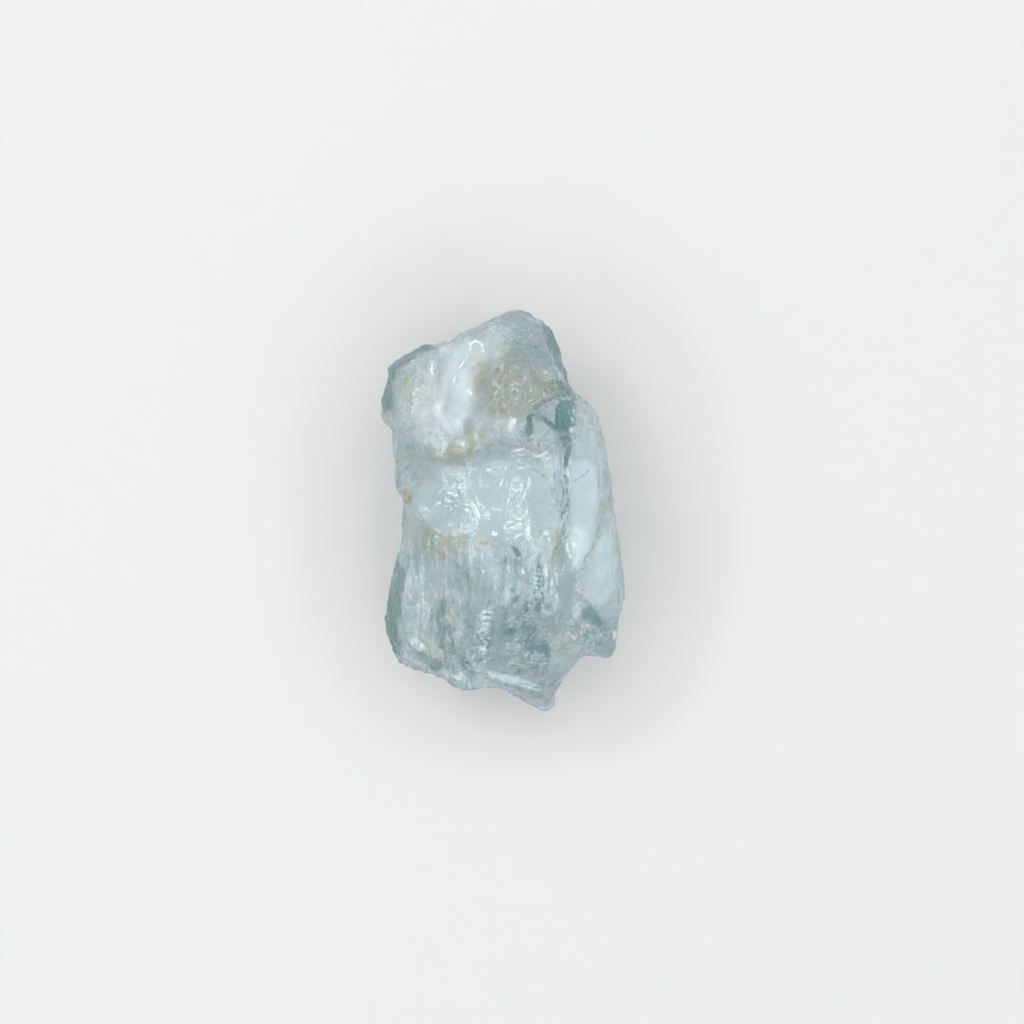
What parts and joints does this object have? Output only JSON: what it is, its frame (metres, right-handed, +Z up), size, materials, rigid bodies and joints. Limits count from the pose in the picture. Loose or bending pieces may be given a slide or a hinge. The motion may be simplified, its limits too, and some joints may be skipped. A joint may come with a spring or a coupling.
{
  "type": "aquamarine crystal",
  "caption": "Rough broken piece of pale blue, see-through beryl with a worn top, scooped fracture faces, a ledge and brown iron stains, lying on its flat face.",
  "frame": {"origin": "on the flat resting face, under the middle of the bounding box", "axes": "+Z up from the resting face, the thinnest way; +Y along the crystal's length towards its worn, rounded end; +X towards the long smooth side face"},
  "size_m": [0.0122, 0.0202, 0.0094],
  "materials": {
    "aquamarine": "vitreous broken surfaces, partly frosted and iron-stained"
  },
  "bodies": {
    "root": {"crystal": "aquamarine"}
  },
  "joints": []
}
